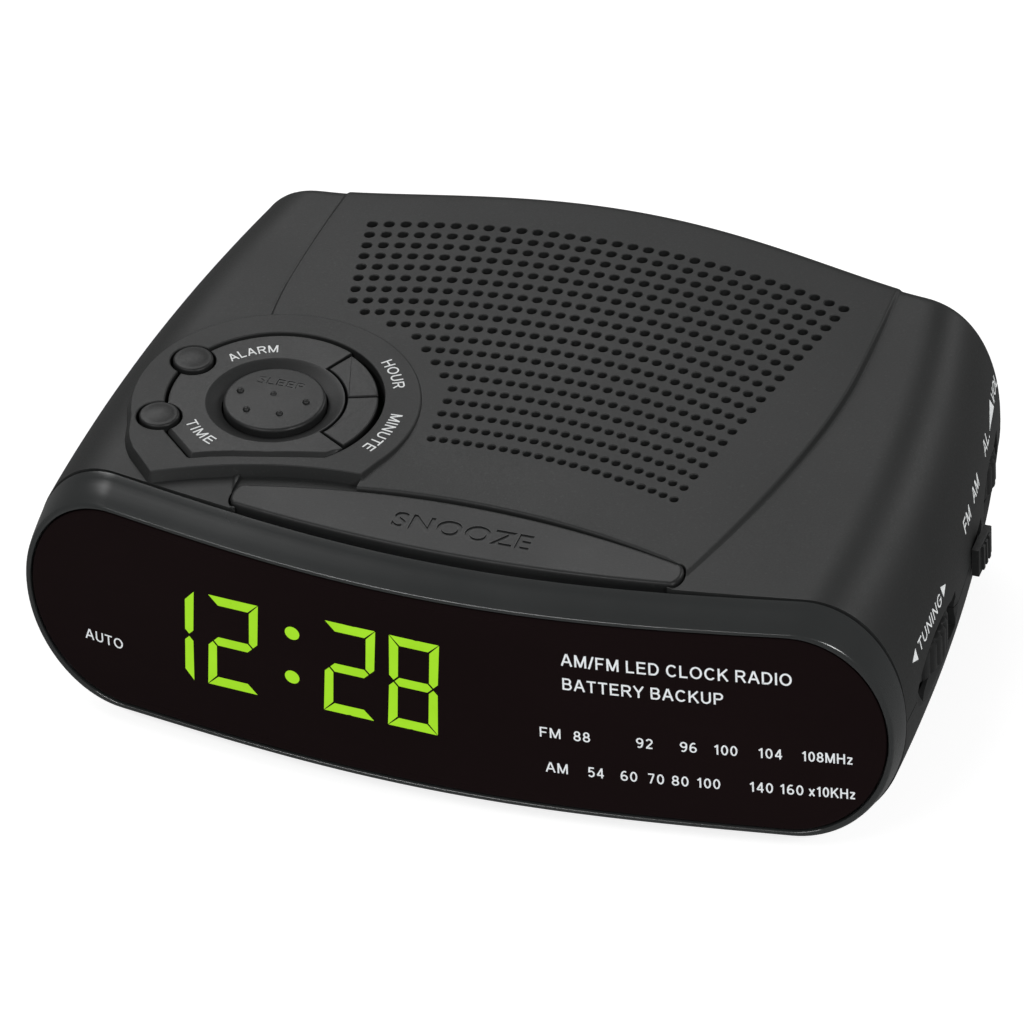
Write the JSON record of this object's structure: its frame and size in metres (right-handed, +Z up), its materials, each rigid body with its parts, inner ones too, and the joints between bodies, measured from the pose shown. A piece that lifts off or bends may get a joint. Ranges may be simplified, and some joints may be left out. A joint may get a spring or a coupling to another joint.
{
  "type": "clock radio",
  "caption": "Low mains clock radio with a curved dark display front, snooze bar, round button cluster, perforated top and thumb wheels at the side.",
  "frame": {"origin": "centre of the bounding box in plan, at the underside of the feet", "axes": "+X to the right seen from the front, +Y to the back, +Z up"},
  "size_m": [0.1908, 0.1354, 0.0657],
  "materials": {
    "case_plastic": "fine matte moulded grain, charcoal",
    "button_plastic": "satin charcoal",
    "bezel_gloss": "gloss black",
    "lens_smoke": "polished dark smoked acrylic",
    "board_green": "solder-masked laminate",
    "switch_black": "moulded black",
    "display_dark": "moulded dark grey",
    "dial_white": "moulded white",
    "pointer_red": "moulded orange-red",
    "cord_white": "braided cord",
    "nylon_white": "natural nylon",
    "steel": "plated steel",
    "lamination": "varnished laminations",
    "copper": "enamelled copper wire",
    "ferrite": "sintered ferrite",
    "cone_paper": "pressed paper",
    "rubber": "moulded rubber"
  },
  "bodies": {
    "case": {"top_case": "case_plastic", "bottom_case": "case_plastic", "control_disc": "button_plastic", "front_bezel": "bezel_gloss", "display_lens": "lens_smoke", "key_board": "board_green", "main_board": "board_green", "display_board": "board_green", "band_switch_board": "board_green", "function_switch_board": "board_green", "sleep_tact_switch": "switch_black", "snooze_tact_switch": "switch_black", "alarm_tact_switch": "switch_black", "time_tact_switch": "switch_black", "hour_tact_switch": "switch_black", "minute_tact_switch": "switch_black", "volume_pot": "switch_black", "battery_clip": "switch_black", "led_display": "display_dark", "dial_plate": "dial_white", "dial_cord": "cord_white", "tuning_capacitor": "nylon_white", "rod_clip_left": "nylon_white", "rod_clip_right": "nylon_white", "case_screw_1": "steel", "case_screw_2": "steel", "case_screw_3": "steel", "case_screw_4": "steel", "speaker_frame": "steel", "band_slide_switch": "steel", "function_slide_switch": "steel", "transformer_core": "lamination", "transformer_coil": "copper", "antenna_coil": "copper", "ferrite_rod": "ferrite", "speaker_magnet": "ferrite", "foot_1": "rubber", "foot_2": "rubber", "foot_3": "rubber", "foot_4": "rubber", "cord_gland": "rubber"},
    "snooze_button": {"snooze_button": "button_plastic"},
    "sleep_button": {"sleep_button": "button_plastic"},
    "alarm_button": {"alarm_button": "button_plastic"},
    "time_button": {"time_button": "button_plastic"},
    "hour_button": {"hour_button": "button_plastic"},
    "minute_button": {"minute_button": "button_plastic"},
    "tuning_wheel": {"tuning_wheel": "button_plastic"},
    "dial_pointer": {"dial_pointer": "pointer_red"},
    "cord_pulley_left": {"cord_pulley_left": "nylon_white"},
    "cord_pulley_right": {"cord_pulley_right": "nylon_white"},
    "volume_wheel": {"volume_wheel": "button_plastic"},
    "band_switch_knob": {"band_switch_knob": "button_plastic"},
    "function_switch_knob": {"function_switch_knob": "button_plastic"},
    "battery_door": {"battery_door": "case_plastic"},
    "speaker_cone": {"speaker_cone": "cone_paper"}
  },
  "joints": [
    {"name": "snooze_press", "type": "slide", "parent": "case", "child": "snooze_button", "axis": [0, 0, -1], "range_m": [0, 0.001], "stiffness_N_per_m": 1000, "springref_m": -0.0005},
    {"name": "sleep_press", "type": "slide", "parent": "case", "child": "sleep_button", "axis": [0, 0, -1], "range_m": [0, 0.001], "stiffness_N_per_m": 1000, "springref_m": -0.0005},
    {"name": "alarm_press", "type": "slide", "parent": "case", "child": "alarm_button", "axis": [0, 0, -1], "range_m": [0, 0.001], "stiffness_N_per_m": 1000, "springref_m": -0.0005},
    {"name": "time_press", "type": "slide", "parent": "case", "child": "time_button", "axis": [0, 0, -1], "range_m": [0, 0.001], "stiffness_N_per_m": 1000, "springref_m": -0.0005},
    {"name": "hour_press", "type": "slide", "parent": "case", "child": "hour_button", "axis": [0, 0, -1], "range_m": [0, 0.001], "stiffness_N_per_m": 1000, "springref_m": -0.0005},
    {"name": "minute_press", "type": "slide", "parent": "case", "child": "minute_button", "axis": [0, 0, -1], "range_m": [0, 0.001], "stiffness_N_per_m": 1000, "springref_m": -0.0005},
    {"name": "tuning_turn", "type": "hinge", "parent": "case", "child": "tuning_wheel", "pos_m": [0.0752, -0.02175, 0.032], "axis": [0, 0, 1], "range_deg": [-90, 90]},
    {"name": "pointer_travel", "type": "slide", "parent": "case", "child": "dial_pointer", "axis": [1, 0, 0], "range_m": [-0.02522, 0.02522]},
    {"name": "pulley_left_turn", "type": "hinge", "parent": "case", "child": "cord_pulley_left", "pos_m": [0.024, -0.04375, 0.0386], "axis": [0, 0, 1], "range_deg": [-376, 376]},
    {"name": "pulley_right_turn", "type": "hinge", "parent": "case", "child": "cord_pulley_right", "pos_m": [0.084, -0.04375, 0.0386], "axis": [0, 0, 1], "range_deg": [-376, 376]},
    {"name": "volume_turn", "type": "hinge", "parent": "case", "child": "volume_wheel", "pos_m": [0.0762, 0.03575, 0.032], "axis": [0, 0, 1], "range_deg": [-150, 150]},
    {"name": "band_slide", "type": "slide", "parent": "case", "child": "band_switch_knob", "axis": [0, 1, 0], "range_m": [0, 0.004]},
    {"name": "function_slide", "type": "slide", "parent": "case", "child": "function_switch_knob", "axis": [0, 1, 0], "range_m": [-0.003, 0.003]},
    {"name": "battery_door_open", "type": "hinge", "parent": "case", "child": "battery_door", "pos_m": [0, 0.05665, 0.004], "axis": [1, 0, 0], "range_deg": [0, 85]},
    {"name": "cone_stroke", "type": "slide", "parent": "case", "child": "speaker_cone", "axis": [0, 0, 1], "range_m": [-0.0006, 0.0006], "stiffness_N_per_m": 1500}
  ],
  "couplings": [
    {"joint": "pointer_travel", "follows": "tuning_turn", "m_per_rad": 0.01605},
    {"joint": "pulley_left_turn", "follows": "tuning_turn", "ratio": 4.1688},
    {"joint": "pulley_right_turn", "follows": "tuning_turn", "ratio": 4.1688}
  ]
}
